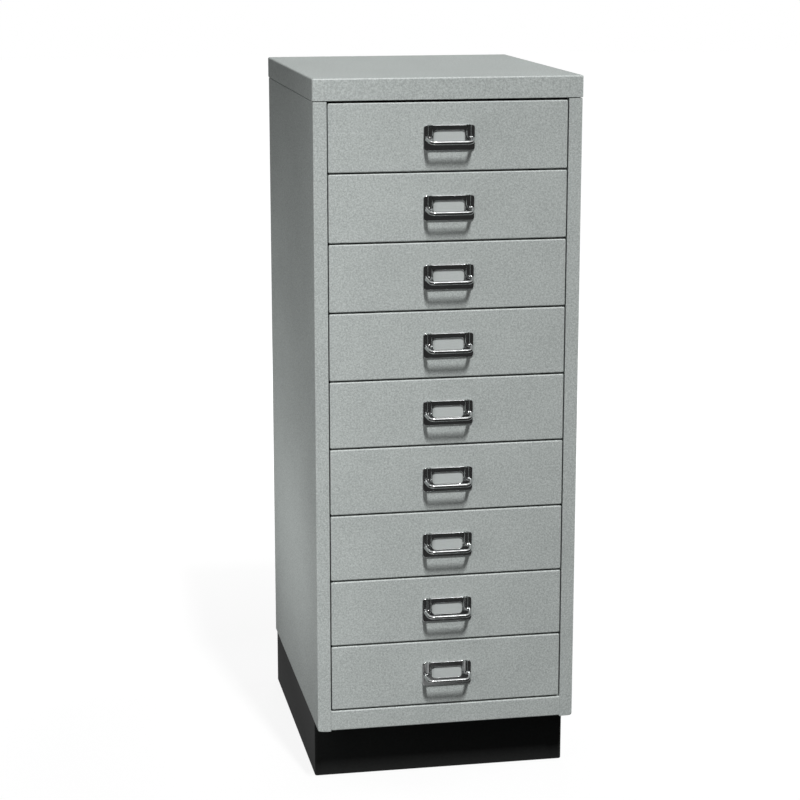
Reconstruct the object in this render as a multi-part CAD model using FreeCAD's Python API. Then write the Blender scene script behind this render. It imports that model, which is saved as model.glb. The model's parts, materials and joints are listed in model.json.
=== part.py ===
import FreeCAD, Part
import math
import os

# Nine-drawer steel cabinet on a recessed plinth, in millimetres.
# The front faces -Y, +Z is up, and the origin is on the floor under the middle of the overall box.

# Overall sizes
cabinet_width = 349.0
cabinet_depth = 432.0
body_height = 860.0
plinth_height = 80.0
drawer_count = 9

# Sheet thicknesses
panel_sheet = 0.9
cap_sheet = 1.0
tray_sheet = 0.8
runner_sheet = 1.0
upright_sheet = 1.0
plinth_sheet = 1.2
frame_sheet = 0.8

# Top cap
cap_overhang = 0.8
cap_lip = 28.0
cap_return = 12.0
cap_corner_radius = 3.0
cap_bend_radius = 2.2
cap_lower_radius = 0.8

# Side panels
stile_width = 17.7
stile_return = 12.0
side_bend_radius = 1.5
side_foot_radius = 3.5

# Bottom rail
rail_height = 28.0
rail_flange = 20.0
rail_bend_radius = 1.6

# Drawer fronts
front_gap = 2.1
gap_under_cap = 3.0
side_gap = 1.4
front_return = 12.0
front_corner_radius = 2.0
front_bend_radius = 1.6

# Drawer trays and their rims
tray_bottom_rise = 3.0
rim_drop = 10.3
rim_setback = 1.5
lug_length = 6.0
lug_width = 2.4
lug_inset = 0.5
lug_clearance = 0.4

# Runners
runner_setback = 14.0
runner_slot = 3.0
runner_lip = 4.0
runner_hold = 79.1
runner_to_back = 4.0
rim_clearance = 0.3
rim_side_clearance = 0.6
tray_side_clearance = 0.7
stop_clearance = 0.5
stop_tab_length = 1.0

# Uprights that carry the runners
upright_width = 30.0
upright_front_setback = 16.0
upright_rear_setback = 20.0

# Label frame
frame_width = 66.0
frame_height = 32.3
frame_drop = 28.6
frame_depth = 2.2
frame_corner_radius = 3.8
frame_bend_radius = 1.0
window_width = 40.5
window_corner_radius = 4.0
window_edge_radius = 0.6
frame_top_rail = 6.7
frame_bottom_rail = 10.3
bead_inset = 8.1
tab_height = 8.0
tab_length = 5.0
tab_clearance = 0.3

# Label card
card_width = 45.0
card_height = 21.0
card_thickness = 0.4

# Wire bail
wire_radius = 2.5
wire_clearance = 0.1
tail_recess = 1.0
bail_root_drop = 16.5
bail_reach = 18.9
bail_drop = 4.6
bail_ear_width = 5.1
bail_ear_reach = 2.4
bail_ear_drop = 0.8
bail_taper = 3.6
bail_bend_radius = 3.2
bail_corner_radius = 6.5

# Plinth
plinth_setback = 45.0
plinth_inset = 2.2
plinth_flange = 20.0
plinth_foot_flange = 6.0
plinth_corner_radius = 3.2
plinth_foot_radius = 3.0

# Bolts between plinth and body
bolt_radius = 3.0
bolt_head_width = 10.0
bolt_head_height = 4.0
bolt_nut_height = 5.0
bolt_hole_clearance = 0.3
thread_clearance = 0.1
bolt_tip = 1.5
bolt_edge_distance = 10.5
bolt_front_distance = 40.0
bolt_rear_distance = 90.0

# Length by which a cutting solid runs past the face it opens
cut_past = 1.0
position_tolerance = 1e-6

# Planes and places worked out from the sizes above
handle_projection = bail_reach + wire_radius - cap_overhang
cap_front = -(cabinet_depth - handle_projection) / 2
cap_back = cap_front + cabinet_depth
face = cap_front + cap_overhang
back = cap_back - cap_overhang
half_width = cabinet_width / 2 - cap_overhang
floor_of_body = plinth_height
top_of_body = plinth_height + body_height
cap_bottom = top_of_body - cap_lip
rail_top = floor_of_body + rail_height
drawer_pitch = (cap_bottom - gap_under_cap - rail_top) / drawer_count
drawer_height = drawer_pitch - front_gap
top_drawer_top = cap_bottom - gap_under_cap
top_drawer_bottom = top_drawer_top - drawer_height

stile_inner = half_width - stile_width
front_half = stile_inner - side_gap
runner_web = stile_inner - runner_sheet
rim_half = runner_web - rim_side_clearance
lip_inner = runner_web - runner_lip
tray_half = lip_inner - tray_side_clearance
panel_flat_half = half_width - side_foot_radius

back_panel_face = back - 2 * panel_sheet
runner_front = face + runner_setback
runner_back = back_panel_face - runner_to_back
tray_front = face + panel_sheet
tray_back = runner_back - runner_sheet - stop_clearance
tray_bottom = top_drawer_bottom + tray_bottom_rise
rim_top = top_drawer_top - rim_drop
slot_bottom = rim_top - tray_sheet - rim_clearance
slot_top = slot_bottom + runner_slot
drawer_travel = tray_back - runner_front - runner_hold
lug_front = tray_back - lug_length
stop_tab_back = lug_front - drawer_travel - stop_clearance

frame_half = frame_width / 2
frame_top = top_drawer_top - frame_drop
frame_bottom = frame_top - frame_height
frame_face = face - frame_depth
frame_middle = (frame_top + frame_bottom) / 2
window_top = frame_top - frame_top_rail
window_bottom = frame_bottom + frame_bottom_rail
tail_half = frame_half - bead_inset
ear_half = tail_half + bail_ear_width
tail_y = face - wire_radius
bead_radius = wire_radius + wire_clearance + frame_sheet
bail_root = frame_top - bail_root_drop
bar_y = face - bail_reach

plinth_half = half_width - plinth_inset
plinth_front = face + plinth_setback
bolt_x = plinth_half - bolt_edge_distance
bolt_places = [
    (side * bolt_x, y)
    for side in (-1, 1)
    for y in (plinth_front + bolt_front_distance, back - bolt_rear_distance)
]


def block(low, high):
    sides = [b - a for a, b in zip(low, high)]
    return Part.makeBox(*sides, FreeCAD.Vector(*low))


def mirrored(shape):
    return shape.mirror(FreeCAD.Vector(0, 0, 0), FreeCAD.Vector(1, 0, 0))


def on_plane(edge, axis, value):
    return all(abs(v.Point[axis] - value) < position_tolerance for v in edge.Vertexes)


def along(edge, axis):
    ends = [v.Point for v in edge.Vertexes]
    others = [i for i in range(3) if i != axis]
    return len(ends) == 2 and all(abs(ends[0][i] - ends[1][i]) < position_tolerance for i in others)


def softened(shape, axis, value, corner, bend):
    """Round the edges that run along an axis, then the loop of edges in one plane across it."""
    shape = shape.makeFillet(corner, [e for e in shape.Edges if along(e, axis)])
    return shape.makeFillet(bend, [e for e in shape.Edges if on_plane(e, axis, value)])


def folded_pan(low, high, sheet, corner, bend, axis, opens_up):
    """A pan of sheet metal with four folded sides, open along one axis."""
    floor_plane = low[axis] if opens_up else high[axis]
    outer = softened(block(low, high), axis, floor_plane, corner, bend)
    inner_low = [v + sheet for v in low]
    inner_high = [v - sheet for v in high]
    if opens_up:
        inner_high[axis] = high[axis] + cut_past
    else:
        inner_low[axis] = low[axis] - cut_past
    inner_floor = inner_low[axis] if opens_up else inner_high[axis]
    inner = softened(block(inner_low, inner_high), axis, inner_floor, corner - sheet, bend - sheet)
    return outer.cut(inner)


def hexagon_prism(width, height, x, y, z):
    radius = width / math.sqrt(3)
    corners = [
        FreeCAD.Vector(x + radius * math.cos(math.radians(a)), y + radius * math.sin(math.radians(a)), z)
        for a in range(0, 361, 60)
    ]
    return Part.Face(Part.makePolygon(corners)).extrude(FreeCAD.Vector(0, 0, height))


def upright_cylinder(radius, x, y, bottom, top):
    return Part.makeCylinder(radius, top - bottom, FreeCAD.Vector(x, y, bottom))


def bolt_holes(bottom, top):
    radius = bolt_radius + bolt_hole_clearance
    holes = [upright_cylinder(radius, x, y, bottom - cut_past, top + cut_past) for x, y in bolt_places]
    return Part.makeCompound(holes)


def rounded_path(points, radii):
    """Straight runs joined by tangent arcs, one radius for each inner point."""
    edges = []
    start = points[0]
    for before, corner, after, radius in zip(points, points[1:], points[2:], radii):
        arriving = (corner - before).normalize()
        leaving = (after - corner).normalize()
        turn = arriving.getAngle(leaving)
        tangent = radius * math.tan(turn / 2)
        inward = (leaving - arriving).normalize()
        centre = corner + inward * (radius / math.cos(turn / 2))
        arc_start = corner - arriving * tangent
        arc_end = corner + leaving * tangent
        edges.append(Part.LineSegment(start, arc_start).toShape())
        edges.append(Part.Arc(arc_start, centre - inward * radius, arc_end).toShape())
        start = arc_end
    edges.append(Part.LineSegment(start, points[-1]).toShape())
    return Part.Wire(edges)


def bail_wire(radius, tail_top):
    """The bent wire of the handle: upright tails, ears that step out, tapering legs and a grip bar."""
    right = [
        FreeCAD.Vector(tail_half, tail_y, tail_top),
        FreeCAD.Vector(tail_half, tail_y, bail_root),
        FreeCAD.Vector(ear_half, tail_y - bail_ear_reach, bail_root - bail_ear_drop),
        FreeCAD.Vector(ear_half - bail_taper, bar_y, bail_root - bail_drop),
    ]
    left = [FreeCAD.Vector(-p.x, p.y, p.z) for p in right]
    right_radii = [bail_bend_radius, bail_bend_radius, bail_corner_radius]
    radii = right_radii + right_radii[::-1]
    path = rounded_path(right + left[::-1], radii)
    section = Part.Wire(Part.makeCircle(radius, right[0], FreeCAD.Vector(0, 0, -1)))
    return path.makePipeShell([section], True, False)


def top_cap():
    low = (-cabinet_width / 2, cap_front, cap_bottom)
    high = (cabinet_width / 2, cap_back, top_of_body)
    shell = softened(block(low, high), 2, top_of_body, cap_corner_radius, cap_bend_radius)
    shell = shell.makeFillet(cap_lower_radius, [e for e in shell.Edges if on_plane(e, 2, cap_bottom)])
    hollow = block([v + cap_sheet for v in low], [v - cap_sheet for v in high])
    inner_corner = cap_corner_radius - cap_sheet
    inner_bend = cap_bend_radius - cap_sheet
    hollow = softened(hollow, 2, top_of_body - cap_sheet, inner_corner, inner_bend)
    mouth = block(
        (low[0] + cap_return, low[1] + cap_return, low[2] - cut_past),
        (high[0] - cap_return, high[1] - cap_return, low[2] + cap_sheet + cut_past),
    )
    return shell.cut(hollow).cut(mouth)


def right_side_panel():
    low = (stile_inner, face, floor_of_body)
    high = (half_width, back, cap_bottom)
    outer = rounded_side(low, high, side_bend_radius, side_foot_radius)
    inner_low = (stile_inner - cut_past, face + panel_sheet, floor_of_body + panel_sheet)
    inner_high = (half_width - panel_sheet, back - panel_sheet, cap_bottom - panel_sheet)
    inner_bend = side_bend_radius - panel_sheet
    inner = rounded_side(inner_low, inner_high, inner_bend, side_foot_radius - panel_sheet)
    stile_fold = block(low, (stile_inner + panel_sheet, face + stile_return, cap_bottom))
    panel = outer.cut(inner).fuse(stile_fold).removeSplitter()
    return panel.cut(bolt_holes(floor_of_body, floor_of_body + panel_sheet))


def rounded_side(low, high, bend, foot):
    """A side panel's block with a large radius along its foot and small ones up its outer edges."""
    shape = block(low, high)
    foot_edge = [e for e in shape.Edges if on_plane(e, 0, high[0]) and on_plane(e, 2, low[2])]
    shape = shape.makeFillet(foot, foot_edge)
    edges = [e for e in shape.Edges if on_plane(e, 0, high[0]) and not on_plane(e, 2, low[2] + foot)]
    return shape.makeFillet(bend, edges)


def back_panel():
    full = block(
        (-panel_flat_half, back_panel_face, floor_of_body + side_bend_radius),
        (panel_flat_half, back - panel_sheet, cap_bottom - side_bend_radius),
    )
    tongue = block(
        (-stile_inner, back_panel_face, floor_of_body),
        (stile_inner, back - panel_sheet, cap_bottom),
    )
    return full.fuse(tongue).removeSplitter()


def base_panel():
    bottom = floor_of_body + panel_sheet
    plate = block(
        (-panel_flat_half, face + rail_flange, bottom),
        (panel_flat_half, back_panel_face, bottom + panel_sheet),
    )
    return plate.cut(bolt_holes(bottom, bottom + panel_sheet))


def bottom_rail():
    """A channel between the stiles whose top and bottom flanges run back."""
    low = (-stile_inner, face, floor_of_body + panel_sheet)
    high = (stile_inner, face + rail_flange, rail_top)
    outer = block(low, high)
    outer_edges = [e for e in outer.Edges if along(e, 0) and on_plane(e, 1, face)]
    outer = outer.makeFillet(rail_bend_radius, outer_edges)
    inner = block(
        (low[0] - cut_past, face + panel_sheet, low[2] + panel_sheet),
        (high[0] + cut_past, high[1] + cut_past, high[2] - panel_sheet),
    )
    inner_edges = [e for e in inner.Edges if along(e, 0) and on_plane(e, 1, face + panel_sheet)]
    return outer.cut(inner.makeFillet(rail_bend_radius - panel_sheet, inner_edges))


def right_upright(front):
    low = (stile_inner, front, floor_of_body + side_foot_radius)
    high = (half_width - panel_sheet, front + upright_width, cap_bottom - side_bend_radius)
    hollow_low = (stile_inner + upright_sheet, front + upright_sheet, low[2] - cut_past)
    hollow_high = (high[0] + cut_past, high[1] - upright_sheet, high[2] + cut_past)
    return block(low, high).cut(block(hollow_low, hollow_high))


def right_uprights():
    rear = back_panel_face - upright_rear_setback - upright_width
    return Part.makeCompound([right_upright(face + upright_front_setback), right_upright(rear)])


def right_runner():
    """A channel that a drawer's rim slides in, closed behind and with a stop tab near its front."""
    low = (lip_inner, runner_front, slot_bottom - runner_sheet)
    high = (stile_inner, runner_back, slot_top + runner_sheet)
    slot_low = (lip_inner - cut_past, runner_front - cut_past, slot_bottom)
    slot_high = (runner_web, runner_back - runner_sheet, slot_top)
    stop_tab = block(
        (lip_inner, stop_tab_back - stop_tab_length, rim_top + lug_clearance),
        (runner_web, stop_tab_back, slot_top),
    )
    return block(low, high).cut(block(slot_low, slot_high)).fuse(stop_tab).removeSplitter()


def right_runners():
    first = right_runner()
    return Part.makeCompound([one_drawer_down(first, i) for i in range(drawer_count)])


def one_drawer_down(shape, index):
    return shape.translated(FreeCAD.Vector(0, 0, -index * drawer_pitch))


def tab_slots():
    """Slots through the drawer front and tray for the two tabs of the label frame."""
    reach = tab_height / 2 + tab_clearance
    slot = block(
        (frame_half - frame_sheet - tab_clearance, face - cut_past, frame_middle - reach),
        (frame_half + tab_clearance, tray_front + tray_sheet + cut_past, frame_middle + reach),
    )
    return Part.makeCompound([slot, mirrored(slot)])


def drawer_front():
    low = (-front_half, face, top_drawer_bottom)
    high = (front_half, face + front_return, top_drawer_top)
    pan = folded_pan(low, high, panel_sheet, front_corner_radius, front_bend_radius, 1, True)
    return pan.cut(tab_slots())


def drawer_tray():
    """A channel with an outward rim and a stop lug along each side, and the walls at its ends."""
    inner = tray_half - tray_sheet
    floor_top = tray_bottom + tray_sheet
    channel = block((-tray_half, tray_front, tray_bottom), (tray_half, tray_back, rim_top))
    hollow = block(
        (-inner, tray_front - cut_past, floor_top),
        (inner, tray_back + cut_past, rim_top + cut_past),
    )
    rim = block(
        (inner, face + front_return + rim_setback, rim_top - tray_sheet),
        (rim_half, tray_back, rim_top),
    )
    lug = block(
        (rim_half - lug_inset - lug_width, lug_front, rim_top - tray_sheet),
        (rim_half - lug_inset, tray_back, slot_top - lug_clearance),
    )
    sides = [rim, mirrored(rim), lug, mirrored(lug)]
    channel = channel.cut(hollow).fuse(sides).removeSplitter()
    front_wall = block((-inner, tray_front, floor_top), (inner, tray_front + tray_sheet, rim_top))
    back_wall = block((-inner, tray_back - tray_sheet, floor_top), (inner, tray_back, rim_top))
    return Part.makeCompound([channel, front_wall.cut(tab_slots()), back_wall])


def frame_tab():
    """A tab that runs back from the frame's edge through the drawer front and is bent over there."""
    half = tab_height / 2
    bent_face = tray_front + tray_sheet
    shank = block(
        (frame_half - frame_sheet, face - frame_sheet, frame_middle - half),
        (frame_half, bent_face + frame_sheet, frame_middle + half),
    )
    bent = block(
        (frame_half - tab_length, bent_face, frame_middle - half),
        (frame_half, bent_face + frame_sheet, frame_middle + half),
    )
    return shank.fuse(bent)


def label_frame():
    """A pressed frame with a window, turned-back edges and a half-round bead over each wire tail."""
    low = (-frame_half, frame_face, frame_bottom)
    high = (frame_half, face, frame_top)
    plate = folded_pan(low, high, frame_sheet, frame_corner_radius, frame_bend_radius, 1, True)
    bead_end = bail_root + bail_bend_radius
    bead = upright_cylinder(bead_radius, tail_half, tail_y, bead_end, frame_top)
    bead_space = block(
        (0, face - bail_reach, frame_bottom),
        (frame_half, frame_face + frame_sheet, frame_top),
    )
    bead = bead.common(bead_space)
    tab = frame_tab()
    window = block(
        (-window_width / 2, frame_face - cut_past, window_bottom),
        (window_width / 2, face, window_top),
    )
    window = window.makeFillet(window_corner_radius, [e for e in window.Edges if along(e, 1)])
    wire_space = bail_wire(wire_radius + wire_clearance, frame_top + cut_past)
    frame = plate.fuse([bead, mirrored(bead), tab, mirrored(tab)]).removeSplitter().cut(window)
    window_edges = [e for e in frame.Edges if on_plane(e, 1, frame_face) and around_window(e)]
    return frame.makeFillet(window_edge_radius, window_edges).cut(wire_space)


def around_window(edge):
    """True for the edges of the window, which lie well inside the frame's outline."""
    reach_x = window_width / 2 + position_tolerance
    reach_up = window_top + position_tolerance
    reach_down = window_bottom - position_tolerance
    return all(abs(v.X) < reach_x and reach_down < v.Z < reach_up for v in edge.Vertexes)


def label_card():
    middle = (window_top + window_bottom) / 2
    return block(
        (-card_width / 2, face - card_thickness, middle - card_height / 2),
        (card_width / 2, face, middle + card_height / 2),
    )


def wire_bail():
    return bail_wire(wire_radius, frame_top - tail_recess)


def plinth_wrap():
    """The front and both sides of the plinth in one folded sheet, with flanges above and below."""
    low = (-plinth_half, plinth_front, 0)
    high = (plinth_half, back, plinth_height)
    shell = rounded_plinth(low, high, plinth_corner_radius, plinth_foot_radius)
    inner_low = (low[0] + plinth_sheet, low[1] + plinth_sheet, plinth_sheet)
    inner_high = (high[0] - plinth_sheet, high[1] + cut_past, high[2] - plinth_sheet)
    corner = plinth_corner_radius - plinth_sheet
    hollow = rounded_plinth(inner_low, inner_high, corner, plinth_foot_radius - plinth_sheet)
    mouth = block(
        (low[0] + plinth_foot_flange, low[1] + plinth_foot_flange, -cut_past),
        (high[0] - plinth_foot_flange, high[1] + cut_past, plinth_height - plinth_sheet),
    )
    upper_mouth = block(
        (low[0] + plinth_flange, low[1] + plinth_flange, 0),
        (high[0] - plinth_flange, high[1] + cut_past, high[2] + cut_past),
    )
    holes = bolt_holes(plinth_height - plinth_sheet, plinth_height)
    return shell.cut(hollow).cut(mouth).cut(upper_mouth).cut(holes)


def rounded_plinth(low, high, corner, foot):
    shape = block(low, high)
    upright_edges = [e for e in shape.Edges if along(e, 2) and on_plane(e, 1, low[1])]
    shape = shape.makeFillet(corner, upright_edges)
    foot_edges = [e for e in shape.Edges if on_plane(e, 2, low[2]) and not on_plane(e, 1, high[1])]
    return shape.makeFillet(foot, foot_edges)


def plinth_back():
    """A plate that closes the rear of the plinth, with a flange above and a narrow one below."""
    web_half = plinth_half - plinth_sheet
    web = block(
        (-web_half, back - plinth_sheet, plinth_foot_radius),
        (web_half, back, plinth_height - plinth_sheet),
    )
    flange_half = plinth_half - plinth_flange
    flange = block(
        (-flange_half, back - plinth_flange, plinth_height - plinth_sheet),
        (flange_half, back, plinth_height),
    )
    foot_half = plinth_half - plinth_foot_flange
    foot = block((-foot_half, back - plinth_foot_flange, 0), (foot_half, back, plinth_sheet))
    foot_web = block((-foot_half, back - plinth_sheet, 0), (foot_half, back, plinth_foot_radius))
    return web.fuse([flange, foot, foot_web]).removeSplitter()


def plinth_bolts():
    head_bottom = plinth_height - plinth_sheet - bolt_head_height
    nut_top = floor_of_body + 2 * panel_sheet + bolt_nut_height
    bolts = []
    for x, y in bolt_places:
        head = hexagon_prism(bolt_head_width, bolt_head_height, x, y, head_bottom)
        shank = upright_cylinder(bolt_radius, x, y, head_bottom, nut_top + bolt_tip)
        bolts.append(head.fuse(shank).removeSplitter())
    return Part.makeCompound(bolts)


def plinth_nuts():
    bottom = floor_of_body + 2 * panel_sheet
    nuts = []
    for x, y in bolt_places:
        nut = hexagon_prism(bolt_head_width, bolt_nut_height, x, y, bottom)
        bore = upright_cylinder(
            bolt_radius + thread_clearance, x, y, bottom - cut_past, bottom + bolt_nut_height + cut_past
        )
        nuts.append(nut.cut(bore))
    return Part.makeCompound(nuts)


def export(name, shape):
    shape.exportStep(f"parts/{name}.step")


def main():
    os.makedirs("parts", exist_ok=True)
    export("top_cap", top_cap())
    export("right_side_panel", right_side_panel())
    export("left_side_panel", mirrored(right_side_panel()))
    export("back_panel", back_panel())
    export("base_panel", base_panel())
    export("bottom_rail", bottom_rail())
    export("right_uprights", right_uprights())
    export("left_uprights", mirrored(right_uprights()))
    export("right_runners", right_runners())
    export("left_runners", mirrored(right_runners()))
    export("plinth_wrap", plinth_wrap())
    export("plinth_back", plinth_back())
    export("plinth_bolts", plinth_bolts())
    export("plinth_nuts", plinth_nuts())
    pieces = {
        "front": drawer_front(),
        "tray": drawer_tray(),
        "label_frame": label_frame(),
        "label_card": label_card(),
        "bail": wire_bail(),
    }
    for index in range(drawer_count):
        for piece, shape in pieces.items():
            export(f"drawer_{index + 1}_{piece}", one_drawer_down(shape, index))
    print("drawer travel", round(drawer_travel, 2))


main()
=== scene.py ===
import json
import math

import bmesh
import bpy
from mathutils import Matrix, Vector


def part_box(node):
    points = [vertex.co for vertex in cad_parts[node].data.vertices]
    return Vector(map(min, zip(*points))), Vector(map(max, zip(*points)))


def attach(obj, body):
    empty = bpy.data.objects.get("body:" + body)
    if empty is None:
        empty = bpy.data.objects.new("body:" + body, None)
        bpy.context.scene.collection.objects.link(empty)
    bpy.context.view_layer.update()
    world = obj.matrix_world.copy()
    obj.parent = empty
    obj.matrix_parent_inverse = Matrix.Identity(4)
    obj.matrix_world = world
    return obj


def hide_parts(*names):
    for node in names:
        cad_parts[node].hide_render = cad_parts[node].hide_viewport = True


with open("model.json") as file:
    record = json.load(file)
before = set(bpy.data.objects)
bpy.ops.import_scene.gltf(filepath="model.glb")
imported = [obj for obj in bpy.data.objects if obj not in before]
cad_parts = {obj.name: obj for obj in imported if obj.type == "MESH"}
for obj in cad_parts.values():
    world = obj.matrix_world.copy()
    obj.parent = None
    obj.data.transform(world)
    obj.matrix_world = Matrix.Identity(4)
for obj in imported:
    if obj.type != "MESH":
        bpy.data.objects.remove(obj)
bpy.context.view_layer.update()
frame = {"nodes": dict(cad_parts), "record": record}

# Nine-drawer steel cabinet, in metres. Places come from the frame's own nodes.
DRAWERS = 9

# Distances under which two places count as one
SAME_PLACE = 1e-5
SAME_CORNER = 1e-6
TINY_STEP = 0.0003

# Sheet thicknesses
PANEL_SHEET = 0.0009
CAP_SHEET = 0.001
PLINTH_SHEET = 0.0012

# Folds of the top cap
CAP_CORNER = 0.003
CAP_BEND = 0.0022
CAP_LOWER_EDGE = 0.0008
CAP_RETURN = 0.012

# Folds of the side panels
SIDE_BEND = 0.0015
SIDE_FOOT = 0.0035
STILE_RETURN = 0.012
STILE_FOLD = 0.0008
SEAM_UNDER_CAP = 0.0008

# Folds of the drawer fronts and the bottom rail
FRONT_CORNER = 0.002
FRONT_BEND = 0.0016
RAIL_BEND = 0.0016

# Folds of the plinth
PLINTH_CORNER = 0.0032
PLINTH_FOOT = 0.003
PLINTH_TOP_FLANGE = 0.020
PLINTH_FOOT_FLANGE = 0.006

# How finely a fold is divided, and which folds stay smooth
FOLD_SEGMENTS = 6
SMALL_FOLD_SEGMENTS = 3
SMOOTH_UP_TO = math.radians(35)

# Parts of a face's normal that tell an upright wall and an outer face
WALL_LEAN = 0.5
OUTWARD_LEAN = 0.05

# Linear colours
SILVER_DARK = (0.295, 0.318, 0.310, 1)
SILVER_LIGHT = (0.495, 0.530, 0.516, 1)
BLACK_DARK = (0.0125, 0.0131, 0.0129, 1)
BLACK_LIGHT = (0.0235, 0.0244, 0.024, 1)
CHROME_DARK = (0.42, 0.43, 0.43, 1)
CHROME_LIGHT = (0.62, 0.63, 0.63, 1)
ZINC_DARK = (0.36, 0.37, 0.38, 1)
ZINC_LIGHT = (0.52, 0.53, 0.54, 1)
CARD_DARK = (0.405, 0.43, 0.422, 1)
CARD_LIGHT = (0.49, 0.52, 0.512, 1)
WHITE = (1, 1, 1, 1)

# Layers of the grain: share of the fleck scale, detail, and weight in the tint
FLECKS = (1.0, 2, 0.53)
MOTTLE = (0.3, 2, 0.4)
CLOUDS = (0.008, 3, 0.07)
GRAIN_ROUGHNESS = 0.6
TINT_MIDDLE = 0.5
MOTTLE_IN_RELIEF = 0.7
FLECKS_IN_RELIEF = 0.3

# The grain is drawn out along the cabinet's depth
GRAIN_STRETCH = (1, 0.5, 1)

# Camera
CAMERA_PLACE = (-0.568, -2.891, 1.1376)
CAMERA_YAW = 0.1858
CAMERA_PITCH = -0.2197
FOCAL_PIXELS = 2169.6
PICTURE_WIDTH = 800
SENSOR = 36

# Studio
FLOOR_SIZE = 30
FLOOR_DROP = 0.0005
FLOOR_ALBEDO = (0.08, 0.08, 0.08, 1)
FLOOR_GLOW_NEAR = 0.89
FLOOR_GLOW_FAR = 1.0
FLOOR_GLOW_REACH = (0.5, 1.6)
WORLD_FILL = 0.012
# The dark studio is seen only in gloss: a painted reflection, dark with a faint glow, that
# darkens what the chrome and paint reflect
PAINTED_REFLECTION_GLOW = 0.04
STUDIO_RADIUS = 5.0
STUDIO_DARK_HEIGHT = 4.2
STUDIO_SIDES = 64

# Brighter glowing patches of the dark studio, painted reflections that lighten the bottom label
# frame and the plinth's side: centre, reach of the fade and strength
PAINTED_REFLECTION_PATCHES = [
    ((-0.25, -0.5, 0), (0.26, 0.36), 0.5),
    ((-0.35, 0.4, 0), (0.1, 0.9), 0.24),
]

# Lamps: name, place, target, size and power; gloss doesn't show the soft ones
KEY_LAMP = ("key", (1.0, -7.7, 11.8), (0, -0.2, 0.5), (0.6, 2.3), 2190)
SOFT_LAMPS = [
    ("front_left", (-0.5, -0.55, 0.6), (0.05, -0.2, 0.6), (0.1, 1.3), 2.1),
    ("left_low", (-0.75, 0.3, 0.5), (-0.17, 0.3, 0.5), (0.5, 0.12), 1.57),
    ("left_near", (-0.4, 0.05, 0.28), (-0.17, 0.05, 0.28), (0.4, 0.04), 0.37),
    ("right_side", (2.6, 0.2, 0.9), (0, 0, 0.45), (1.2, 1.2), 46),
    ("back", (0.4, 2.8, 0.9), (0, 0, 0.45), (1.2, 1.2), 53),
]


# Node helpers

def add_node(tree, kind, settings=None, **values):
    node = tree.nodes.new(kind)
    for name, value in (settings or {}).items():
        setattr(node, name, value)
    for name, value in values.items():
        node.inputs[name.replace("_", " ")].default_value = value
    return node


def connect(tree, source, output, target, socket):
    tree.links.new(source.outputs[output], target.inputs[socket])


def mix_colours(tree, factor_node, factor_output, first, second):
    mix = tree.nodes.new("ShaderNodeMix")
    mix.data_type = "RGBA"
    colours = [socket for socket in mix.inputs if socket.type == "RGBA"]
    colours[0].default_value = first
    colours[1].default_value = second
    tree.links.new(factor_node.outputs[factor_output], mix.inputs["Factor"])
    return next(socket for socket in mix.outputs if socket.type == "RGBA")


def new_group(name, inputs, outputs):
    group = bpy.data.node_groups.new(name, "ShaderNodeTree")
    for label, value in inputs.items():
        socket = group.interface.new_socket(label, in_out="INPUT", socket_type="NodeSocketFloat")
        socket.default_value = value
    for label in outputs:
        group.interface.new_socket(label, in_out="OUTPUT", socket_type="NodeSocketFloat")
    return group, group.nodes.new("NodeGroupInput"), group.nodes.new("NodeGroupOutput")


def noise(tree, place, given, layer):
    """A noise texture for one layer of the grain, with a share of the group's fleck scale."""
    share, detail, _ = layer
    scale = add_node(tree, "ShaderNodeMath", {"operation": "MULTIPLY"})
    connect(tree, given, "Fleck Scale", scale, 0)
    scale.inputs[1].default_value = share
    texture = add_node(tree, "ShaderNodeTexNoise", Detail=detail, Roughness=GRAIN_ROUGHNESS)
    connect(tree, place, "Vector", texture, "Vector")
    connect(tree, scale, "Value", texture, "Scale")
    return texture


def weighted(tree, terms):
    """The sum of some textures, each with its weight."""
    total = None
    for texture, weight in terms:
        term = add_node(tree, "ShaderNodeMath", {"operation": "MULTIPLY_ADD"})
        connect(tree, texture, "Fac", term, 0)
        term.inputs[1].default_value = weight
        if total is not None:
            connect(tree, total, "Value", term, 2)
        else:
            term.inputs[2].default_value = 0
        total = term
    return total


def grain_group():
    """Fine flecks, softer mottling and slow clouding, with a matching relief and gloss."""
    group, given, result = new_group(
        "grain",
        {"Fleck Scale": 900, "Contrast": 1, "Gloss Low": 0.4, "Gloss High": 0.5},
        ["Tint", "Gloss", "Relief"],
    )
    lengths = add_node(group, "ShaderNodeTexCoord")
    place = add_node(group, "ShaderNodeVectorMath", {"operation": "MULTIPLY"})
    place.inputs[1].default_value = GRAIN_STRETCH
    connect(group, lengths, "Object", place, 0)
    layers = (FLECKS, MOTTLE, CLOUDS)
    textures = [noise(group, place, given, layer) for layer in layers]
    flecks, mottle, _ = textures
    mixed = weighted(
        group, [(texture, weight) for texture, (_, _, weight) in zip(textures, layers)]
    )
    spread = add_node(group, "ShaderNodeMath", {"operation": "SUBTRACT"})
    connect(group, mixed, "Value", spread, 0)
    spread.inputs[1].default_value = TINT_MIDDLE
    tint = add_node(group, "ShaderNodeMath", {"operation": "MULTIPLY_ADD", "use_clamp": True})
    connect(group, spread, "Value", tint, 0)
    connect(group, given, "Contrast", tint, 1)
    tint.inputs[2].default_value = TINT_MIDDLE
    gloss = add_node(group, "ShaderNodeMapRange")
    connect(group, mottle, "Fac", gloss, "Value")
    connect(group, given, "Gloss Low", gloss, "To Min")
    connect(group, given, "Gloss High", gloss, "To Max")
    relief = weighted(group, [(mottle, MOTTLE_IN_RELIEF), (flecks, FLECKS_IN_RELIEF)])
    connect(group, tint, "Value", result, "Tint")
    connect(group, gloss, "Result", result, "Gloss")
    connect(group, relief, "Value", result, "Relief")
    return group


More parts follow.
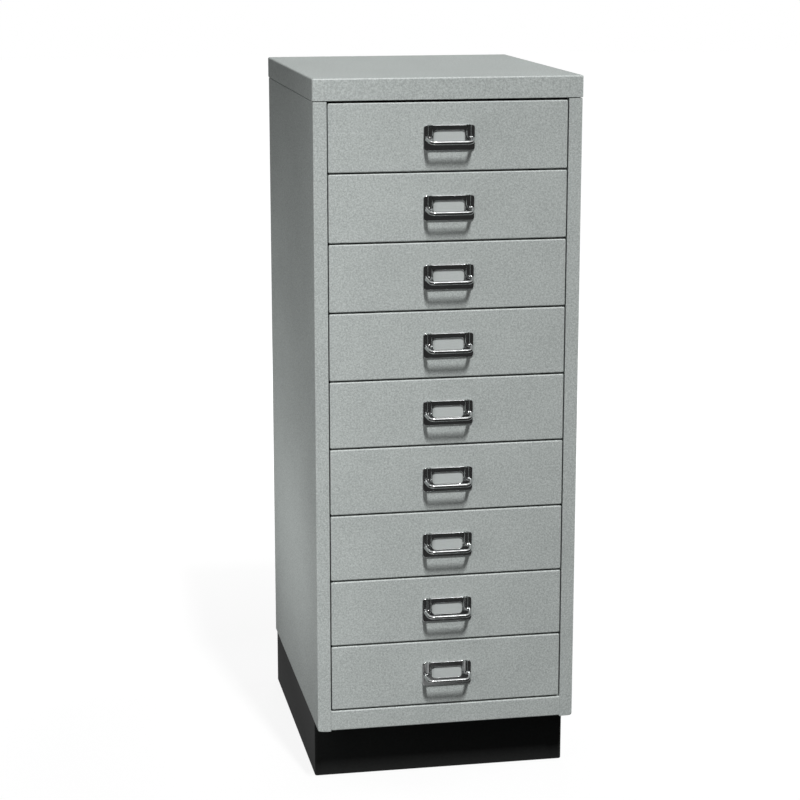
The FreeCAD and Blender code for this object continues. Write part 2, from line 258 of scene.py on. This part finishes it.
def grained_material(name, group, grain, colours, relief, shader_values):
    """A finish whose colour, gloss and relief come from the grain group.

    The relief is the bump's strength and its depth in metres.
    """
    material = bpy.data.materials.new(name)
    material.use_nodes = True
    tree = material.node_tree
    shader = tree.nodes["Principled BSDF"]
    for label, value in shader_values.items():
        shader.inputs[label].default_value = value
    placed = add_node(tree, "ShaderNodeGroup", {"node_tree": group})
    for label, value in grain.items():
        placed.inputs[label].default_value = value
    colour = mix_colours(tree, placed, "Tint", *colours)
    tree.links.new(colour, shader.inputs["Base Color"])
    connect(tree, placed, "Gloss", shader, "Roughness")
    bump = add_node(tree, "ShaderNodeBump", Strength=relief[0], Distance=relief[1])
    connect(tree, placed, "Relief", bump, "Height")
    connect(tree, bump, "Normal", shader, "Normal")
    return material


def make_finishes():
    grain = grain_group()
    return {
        "silver_paint": grained_material(
            "silver_paint", grain,
            {"Fleck Scale": 1500, "Contrast": 6.2, "Gloss Low": 0.42, "Gloss High": 0.56},
            (SILVER_DARK, SILVER_LIGHT), (0.12, 0.0003),
            {"Metallic": 0.0, "Specular IOR Level": 0.45},
        ),
        "black_paint": grained_material(
            "black_paint", grain,
            {"Fleck Scale": 1100, "Contrast": 2, "Gloss Low": 0.5, "Gloss High": 0.62},
            (BLACK_DARK, BLACK_LIGHT), (0.2, 0.0003),
            {
                "Metallic": 0.0, "Specular IOR Level": 0.03,
                "Sheen Weight": 0.22, "Sheen Roughness": 0.4,
            },
        ),
        "chrome": grained_material(
            "chrome", grain,
            {"Fleck Scale": 500, "Contrast": 1.5, "Gloss Low": 0.08, "Gloss High": 0.2},
            (CHROME_DARK, CHROME_LIGHT), (0.05, 0.0002),
            {"Metallic": 1.0},
        ),
        "zinc_plate": grained_material(
            "zinc_plate", grain,
            {"Fleck Scale": 300, "Contrast": 2.5, "Gloss Low": 0.28, "Gloss High": 0.45},
            (ZINC_DARK, ZINC_LIGHT), (0.1, 0.0002),
            {"Metallic": 0.9},
        ),
        "blank_card": grained_material(
            "blank_card", grain,
            {"Fleck Scale": 2200, "Contrast": 2, "Gloss Low": 0.75, "Gloss High": 0.85},
            (CARD_DARK, CARD_LIGHT), (0.2, 0.0001),
            {"Metallic": 0.0, "Specular IOR Level": 0.25},
        ),
    }


# Sheet-metal helpers

def box_mesh(low, high):
    bm = bmesh.new()
    sides = high - low
    place = Matrix.Translation((low + high) / 2) @ Matrix.Diagonal((*sides, 1))
    bmesh.ops.create_cube(bm, size=1, matrix=place)
    return bm


def at(vertices, axis, value):
    return all(abs(vertex.co[axis] - value) < SAME_PLACE for vertex in vertices)


def faces_at(bm, axis, value):
    return [face for face in bm.faces if at(face.verts, axis, value)]


def edges_along(bm, axis):
    others = [i for i in range(3) if i != axis]
    return [
        edge for edge in bm.edges
        if all(abs(edge.verts[0].co[i] - edge.verts[1].co[i]) < SAME_PLACE for i in others)
    ]


def edges_at(bm, *planes):
    """Edges that lie in each of some planes, given as an axis and a value."""
    return [
        edge for edge in bm.edges if all(at(edge.verts, axis, value) for axis, value in planes)
    ]


def corners_of(geometry):
    return [item for item in geometry if isinstance(item, bmesh.types.BMVert)]


def drop_faces(bm, faces):
    bmesh.ops.delete(bm, geom=faces, context="FACES")


def fold(bm, edges, radius, segments=FOLD_SEGMENTS):
    bmesh.ops.bevel(
        bm, geom=edges, offset=radius, offset_type="OFFSET", segments=segments,
        profile=0.5, affect="EDGES", material=-1, clamp_overlap=True,
    )


def open_mouth(bm, axis, value, flange):
    """Leave a flange round a flat side and open the rest of it."""
    ring = bmesh.ops.inset_region(
        bm, faces=faces_at(bm, axis, value), thickness=flange,
        use_even_offset=True, use_boundary=False,
    )["faces"]
    kept = set(ring)
    drop_faces(bm, [face for face in faces_at(bm, axis, value) if face not in kept])


def outer_rim(bm, axis, value):
    """Edges in a flat side's plane that join it to the walls standing round it."""
    return [
        edge for edge in edges_at(bm, (axis, value))
        if any(abs(face.normal[axis]) < WALL_LEAN for face in edge.link_faces)
    ]


def soft_shading(mesh):
    mesh.shade_smooth()
    mesh.set_sharp_from_angle(angle=SMOOTH_UP_TO)


def mesh_from(name, bm):
    mesh = bpy.data.meshes.new(name)
    bm.to_mesh(mesh)
    bm.free()
    return mesh


def in_scene(name, data):
    item = bpy.data.objects.new(name, data)
    bpy.context.scene.collection.objects.link(item)
    return item


def placed_piece(name, bm, finish, node, sheet=None):
    """Put a mesh in the scene in place of a CAD node, with its sheet thickness and finish."""
    mesh = mesh_from(name, bm)
    piece = in_scene(name, mesh)
    mesh.materials.append(finishes[finish])
    soft_shading(mesh)
    if sheet:
        wall = piece.modifiers.new("sheet", "SOLIDIFY")
        wall.thickness = sheet
        wall.offset = -1
        wall.use_even_offset = True
    flat = piece.modifiers.new("flat_faces", "WEIGHTED_NORMAL")
    flat.keep_sharp = True
    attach(piece, body_of[node])
    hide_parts(node)


# Pieces

def make_top_cap():
    low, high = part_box("top_cap")
    bm = box_mesh(low, high)
    open_mouth(bm, 2, low.z, CAP_RETURN)
    fold(bm, edges_along(bm, 2), CAP_CORNER)
    fold(bm, outer_rim(bm, 2, high.z), CAP_BEND)
    bm.normal_update()
    fold(bm, outer_rim(bm, 2, low.z), CAP_LOWER_EDGE, SMALL_FOLD_SEGMENTS)
    placed_piece("folded_top_cap", bm, "silver_paint", "top_cap", CAP_SHEET)


def make_side_panel(node, name, side):
    """A side panel folded round into its stile; side is -1 on the left and 1 on the right."""
    low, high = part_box(node)
    high.z -= SEAM_UNDER_CAP
    inner, outer = (low.x, high.x) if side > 0 else (high.x, low.x)
    bm = box_mesh(low, high)
    drop_faces(bm, faces_at(bm, 0, inner))
    fold(bm, edges_at(bm, (0, outer), (2, low.z)), SIDE_FOOT)
    bm.normal_update()
    fold(bm, outer_folds(bm, low, high, side), SIDE_BEND)
    stile_edge = (0, inner), (1, low.y)
    turned = bmesh.ops.extrude_edge_only(bm, edges=edges_at(bm, *stile_edge))["geom"]
    bmesh.ops.translate(bm, verts=corners_of(turned), vec=(0, STILE_RETURN, 0))
    bm.normal_update()
    fold(bm, edges_at(bm, *stile_edge), STILE_FOLD, SMALL_FOLD_SEGMENTS)
    bmesh.ops.remove_doubles(bm, verts=bm.verts, dist=TINY_STEP)
    placed_piece(name, bm, "silver_paint", node, PANEL_SHEET)


def outer_folds(bm, low, high, side):
    """Edges where the outer face and its rounded foot meet the stile, rear flange and top."""
    flat_sides = [(1, low.y), (1, high.y), (2, high.z)]
    return [
        edge for edge in bm.edges
        if len(edge.link_faces) == 2
        and any(face.normal.x * side > OUTWARD_LEAN for face in edge.link_faces)
        and any(at(edge.verts, axis, value) for axis, value in flat_sides)
    ]


def make_bottom_rail():
    low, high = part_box("bottom_rail")
    bm = box_mesh(low, high)
    drop_faces(bm, faces_at(bm, 1, high.y) + faces_at(bm, 0, low.x) + faces_at(bm, 0, high.x))
    front_edges = [edge for edge in edges_along(bm, 0) if at(edge.verts, 1, low.y)]
    fold(bm, front_edges, RAIL_BEND)
    placed_piece("folded_bottom_rail", bm, "silver_paint", "bottom_rail", PANEL_SHEET)


def make_drawer_front(number):
    node = f"drawer_{number}_front"
    low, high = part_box(node)
    bm = box_mesh(low, high)
    drop_faces(bm, faces_at(bm, 1, high.y))
    fold(bm, edges_along(bm, 1), FRONT_CORNER)
    bm.normal_update()
    fold(bm, outer_rim(bm, 1, low.y), FRONT_BEND)
    placed_piece(f"drawer_{number}_folded_front", bm, "silver_paint", node, PANEL_SHEET)


def make_plinth_wrap():
    low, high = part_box("plinth_wrap")
    bm = box_mesh(low, high)
    drop_faces(bm, faces_at(bm, 1, high.y))
    open_mouth(bm, 2, high.z, PLINTH_TOP_FLANGE)
    open_mouth(bm, 2, low.z, PLINTH_FOOT_FLANGE)
    front_corners = [edge for edge in edges_along(bm, 2) if at(edge.verts, 1, low.y)]
    fold(bm, front_corners, PLINTH_CORNER)
    bm.normal_update()
    fold(bm, outer_rim(bm, 2, low.z), PLINTH_FOOT)
    bmesh.ops.remove_doubles(bm, verts=bm.verts, dist=TINY_STEP)
    placed_piece("folded_plinth_wrap", bm, "black_paint", "plinth_wrap", PLINTH_SHEET)


def make_plated_copy(node, name):
    """A label frame or bail with its loose triangles joined, so that it shades smoothly."""
    bm = bmesh.new()
    bm.from_mesh(frame["nodes"][node].data)
    bmesh.ops.remove_doubles(bm, verts=bm.verts, dist=SAME_CORNER)
    placed_piece(name, bm, "chrome", node)


def finish_cad_nodes():
    """Give every node that stays its slot's finish."""
    for row in frame["record"]["subparts"]:
        node = frame["nodes"][row["node"]]
        if not node.hide_render:
            for place in node.material_slots:
                place.material = finishes[row["material_slot"]]


# Studio

def add_camera():
    camera = bpy.data.cameras.new("camera")
    camera.sensor_width = SENSOR
    camera.lens = FOCAL_PIXELS / PICTURE_WIDTH * SENSOR
    item = in_scene("camera", camera)
    item.location = CAMERA_PLACE
    item.rotation_euler = (math.pi / 2 + CAMERA_PITCH, 0, -CAMERA_YAW)
    bpy.context.scene.camera = item


def add_lamp(name, place, target, size, power):
    lamp = bpy.data.lights.new(name, "AREA")
    lamp.shape = "RECTANGLE"
    lamp.size, lamp.size_y = size
    lamp.energy = power
    item = in_scene(name, lamp)
    item.location = place
    item.rotation_euler = (Vector(place) - Vector(target)).to_track_quat("Z", "Y").to_euler()
    item.visible_camera = False
    return item


def bare_material(name):
    """A material with nothing but its output, whose glow isn't sampled as a lamp."""
    material = bpy.data.materials.new(name)
    material.use_nodes = True
    material.cycles.emission_sampling = "NONE"
    tree = material.node_tree
    tree.nodes.remove(tree.nodes["Principled BSDF"])
    return material, tree


def seen_directly(tree):
    """1 for rays from the camera, off gloss or through glass, and 0 for all others."""
    path = add_node(tree, "ShaderNodeLightPath")
    first = add_node(tree, "ShaderNodeMath", {"operation": "MAXIMUM"})
    connect(tree, path, "Is Camera Ray", first, 0)
    connect(tree, path, "Is Glossy Ray", first, 1)
    second = add_node(tree, "ShaderNodeMath", {"operation": "MAXIMUM"})
    connect(tree, first, "Value", second, 0)
    connect(tree, path, "Is Transmission Ray", second, 1)
    return second


def by_distance(tree, centre, reach, values):
    """A value that changes evenly with the distance from a place on the floor."""
    place = add_node(tree, "ShaderNodeTexCoord")
    distance = add_node(tree, "ShaderNodeVectorMath", {"operation": "DISTANCE"})
    distance.inputs[1].default_value = centre
    connect(tree, place, "Object", distance, 0)
    change = add_node(tree, "ShaderNodeMapRange")
    for label, value in zip(("From Min", "From Max", "To Min", "To Max"), (*reach, *values)):
        change.inputs[label].default_value = value
    connect(tree, distance, "Value", change, "Value")
    return change


def set_world():
    world = bpy.data.worlds.new("studio")
    bpy.context.scene.world = world
    world.use_nodes = True
    tree = world.node_tree
    fill = tree.nodes["Background"]
    fill.inputs["Color"].default_value = WHITE
    fill.inputs["Strength"].default_value = WORLD_FILL
    backdrop = add_node(tree, "ShaderNodeBackground", Color=WHITE, Strength=1)
    mix = add_node(tree, "ShaderNodeMixShader")
    connect(tree, seen_directly(tree), "Value", mix, 0)
    connect(tree, fill, "Background", mix, 1)
    connect(tree, backdrop, "Background", mix, 2)
    connect(tree, mix, "Shader", tree.nodes["World Output"], "Surface")


def add_floor():
    bm = bmesh.new()
    bmesh.ops.create_grid(bm, x_segments=1, y_segments=1, size=FLOOR_SIZE / 2)
    bmesh.ops.translate(bm, verts=bm.verts, vec=(0, 0, -FLOOR_DROP))
    mesh = mesh_from("floor", bm)
    floor = in_scene("floor", mesh)
    material, tree = bare_material("floor_white")
    diffuse = add_node(tree, "ShaderNodeBsdfDiffuse", Color=FLOOR_ALBEDO)
    glow = add_node(tree, "ShaderNodeEmission", Color=WHITE)
    reach = by_distance(tree, (0, 0, 0), FLOOR_GLOW_REACH, (FLOOR_GLOW_NEAR, FLOOR_GLOW_FAR))
    strength = add_node(tree, "ShaderNodeMath", {"operation": "MULTIPLY"})
    connect(tree, seen_directly(tree), "Value", strength, 0)
    connect(tree, reach, "Result", strength, 1)
    connect(tree, strength, "Value", glow, "Strength")
    both = add_node(tree, "ShaderNodeAddShader")
    connect(tree, diffuse, "BSDF", both, 0)
    connect(tree, glow, "Emission", both, 1)
    connect(tree, both, "Shader", tree.nodes["Material Output"], "Surface")
    mesh.materials.append(material)


def add_painted_reflection_studio():
    """Dark floor and walls that only gloss sees, a painted reflection: a faint glow with brighter
    patches.
    """
    bm = bmesh.new()
    bmesh.ops.create_circle(bm, segments=STUDIO_SIDES, radius=STUDIO_RADIUS, cap_ends=True)
    bmesh.ops.translate(bm, verts=bm.verts, vec=(0, 0, -FLOOR_DROP / 2))
    wall = bmesh.ops.extrude_edge_only(bm, edges=list(bm.edges))["geom"]
    bmesh.ops.translate(bm, verts=corners_of(wall), vec=(0, 0, STUDIO_DARK_HEIGHT))
    mesh = mesh_from("painted_reflection_studio", bm)
    item = in_scene("painted_reflection_studio", mesh)
    material, tree = bare_material("gloss_only_painted_reflection")
    # Painted reflection: this glow and its brighter patches show only in gloss
    glow = add_node(tree, "ShaderNodeEmission", Color=WHITE)
    brightest = add_node(tree, "ShaderNodeMath", {"operation": "MAXIMUM"})
    for socket, (centre, reach, strength) in enumerate(PAINTED_REFLECTION_PATCHES):
        fade = by_distance(tree, centre, reach, (strength, PAINTED_REFLECTION_GLOW))
        connect(tree, fade, "Result", brightest, socket)
    connect(tree, brightest, "Value", glow, "Strength")
    connect(tree, glow, "Emission", tree.nodes["Material Output"], "Surface")
    mesh.materials.append(material)
    item.visible_camera = False
    item.visible_diffuse = False
    item.visible_shadow = False
    item.visible_transmission = False


def add_lamps():
    add_lamp(*KEY_LAMP)
    for row in SOFT_LAMPS:
        add_lamp(*row).visible_glossy = False


body_of = {
    node: body for body, nodes in frame["record"]["behaviour"]["bodies"].items() for node in nodes
}
finishes = make_finishes()

make_top_cap()
make_side_panel("left_side_panel", "folded_left_side", -1)
make_side_panel("right_side_panel", "folded_right_side", 1)
make_bottom_rail()
make_plinth_wrap()
for number in range(1, DRAWERS + 1):
    make_drawer_front(number)
    make_plated_copy(f"drawer_{number}_label_frame", f"drawer_{number}_plated_frame")
    make_plated_copy(f"drawer_{number}_bail", f"drawer_{number}_plated_bail")
finish_cad_nodes()

add_camera()
set_world()
add_floor()
add_painted_reflection_studio()
add_lamps()

bpy.context.scene.view_settings.view_transform = "Standard"
